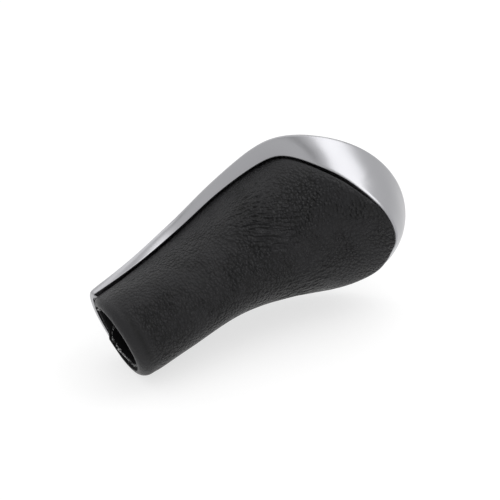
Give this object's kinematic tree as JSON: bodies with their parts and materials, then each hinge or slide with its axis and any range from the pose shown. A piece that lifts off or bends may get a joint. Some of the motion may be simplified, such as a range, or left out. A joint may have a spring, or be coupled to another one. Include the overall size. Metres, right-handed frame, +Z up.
{
  "type": "gear shift knob",
  "caption": "Push-on gear shift knob: leather covered teardrop head on a straight neck, framed in satin metal, with a collet sleeve for a plain round lever.",
  "frame": {"origin": "centre of the neck's mouth, where the lever's axis passes through the plane of the leather lip", "axes": "+Z up the lever's axis to the crown, -Y out of the framed face, +Y out of the leather palm side, +X to the right of someone who looks at the framed face"},
  "size_m": [0.053, 0.0488, 0.0886],
  "materials": {
    "leather": "fine grain, satin",
    "satin_metal": "satin",
    "shell_plastic": "moulded, fine texture",
    "socket_plastic": "moulded, glass filled",
    "sleeve_nylon": "moulded, smooth",
    "steel": "zinc plated"
  },
  "bodies": {
    "root": {"leather_cover": "leather", "back_shell": "shell_plastic", "trim_frame": "satin_metal", "insert_carrier": "shell_plastic", "insert_leather": "leather", "socket_carrier": "socket_plastic", "lever_sleeve": "sleeve_nylon", "retaining_ring": "steel", "carrier_screws": "steel"}
  },
  "joints": []
}
